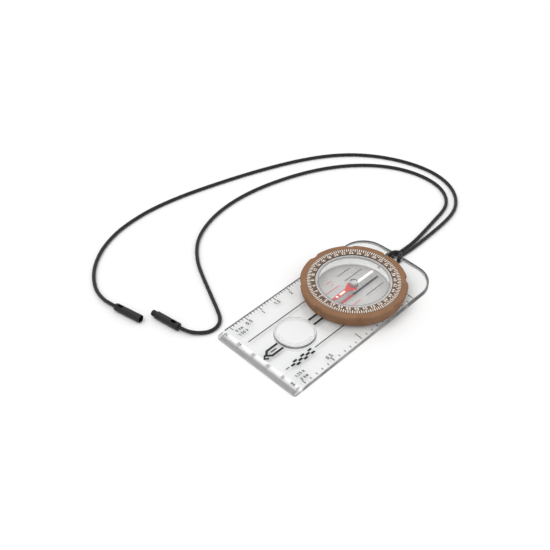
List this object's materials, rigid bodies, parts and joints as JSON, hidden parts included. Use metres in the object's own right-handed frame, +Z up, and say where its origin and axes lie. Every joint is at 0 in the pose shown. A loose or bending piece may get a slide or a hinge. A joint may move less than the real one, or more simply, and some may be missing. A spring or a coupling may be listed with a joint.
{
  "type": "baseplate compass",
  "caption": "Clear baseplate compass with a turning graduated dial, a liquid capsule with a pivoting needle, a moulded magnifier, map scales and a neck cord with a breakaway connector.",
  "frame": {"origin": "the dial's rotation axis at the underside of the baseplate", "axes": "+Y is the direction of travel, +X is to its right, +Z is up out of the dial's face"},
  "size_m": [0.1582, 0.2108, 0.0097],
  "materials": {
    "clear_plate": "clear moulded acrylic, polished",
    "clear_capsule": "clear moulded acrylic, polished",
    "clear_hub": "clear moulded acrylic, polished",
    "ink_black": "screen print, satin",
    "ink_red": "screen print, satin",
    "ink_white": "pad print, matt",
    "dial_plastic": "fine moulded texture",
    "grip_rubber": "fine spark texture, matt",
    "black_plastic": "fine moulded texture",
    "brass": "turned",
    "steel_pin": "ground and polished",
    "steel_magnet": "ground",
    "needle_red": "painted, glossy",
    "needle_white": "painted, glossy",
    "luminous": "luminous paint, matt",
    "sapphire": "polished",
    "cord": "tight braid, matt"
  },
  "bodies": {
    "baseplate": {"baseplate": "clear_plate", "scale_50k_print": "ink_black", "scale_25k_print": "ink_black", "ruler_print": "ink_black", "direction_arrow_print": "ink_black", "guide_line_print": "ink_black", "lanyard_hitch": "cord"},
    "dial": {"dial_ring": "dial_plastic", "dial_grip": "grip_rubber", "dial_graduations": "ink_white", "dial_numbers": "ink_white", "retaining_ring": "black_plastic", "capsule_cup": "clear_capsule", "capsule_lid": "clear_capsule", "fill_plug": "brass", "meridian_lines_north": "ink_red", "meridian_lines_south": "ink_black", "orienting_lines_north": "ink_red", "orienting_lines_south": "ink_black", "pivot_pin": "steel_pin"},
    "needle": {"needle_magnet": "steel_magnet", "needle_cover_north": "needle_red", "needle_cover_south": "needle_white", "needle_luminous_marks": "luminous", "needle_hub": "clear_hub", "jewel_bearing": "sapphire"},
    "strand_socket_side": {"lanyard_strand_socket_side": "cord"},
    "strand_plug_side": {"lanyard_strand_plug_side": "cord"},
    "socket": {"connector_socket": "black_plastic"},
    "plug": {"connector_plug": "black_plastic"}
  },
  "joints": [
    {"name": "dial_turn", "type": "hinge", "parent": "baseplate", "child": "dial", "pos_m": [0, 0, 0.0025], "axis": [0, 0, 1], "continuous": true},
    {"name": "needle_swing", "type": "hinge", "parent": "dial", "child": "needle", "pos_m": [0, 0, 0.00655], "axis": [0, 0, 1], "continuous": true},
    {"name": "socket_strand_lift", "type": "hinge", "parent": "baseplate", "child": "strand_socket_side", "pos_m": [-0.00017, -0.05335, 0.00102], "axis": [0.01, -0.9999, 0], "range_deg": [0, 90]},
    {"name": "plug_strand_lift", "type": "hinge", "parent": "baseplate", "child": "strand_plug_side", "pos_m": [0.00261, -0.05335, 0.00102], "axis": [0.09, -0.9959, 0], "range_deg": [0, 90]},
    {"name": "socket_swivel", "type": "hinge", "parent": "strand_socket_side", "child": "socket", "pos_m": [0.0789, 0.0938, 0.0021], "axis": [-0.9798, -0.2, 0], "continuous": true},
    {"name": "plug_swivel", "type": "hinge", "parent": "strand_plug_side", "child": "plug", "pos_m": [0.0442, 0.0806, 0.0021], "axis": [0.989, 0.148, 0], "continuous": true}
  ]
}
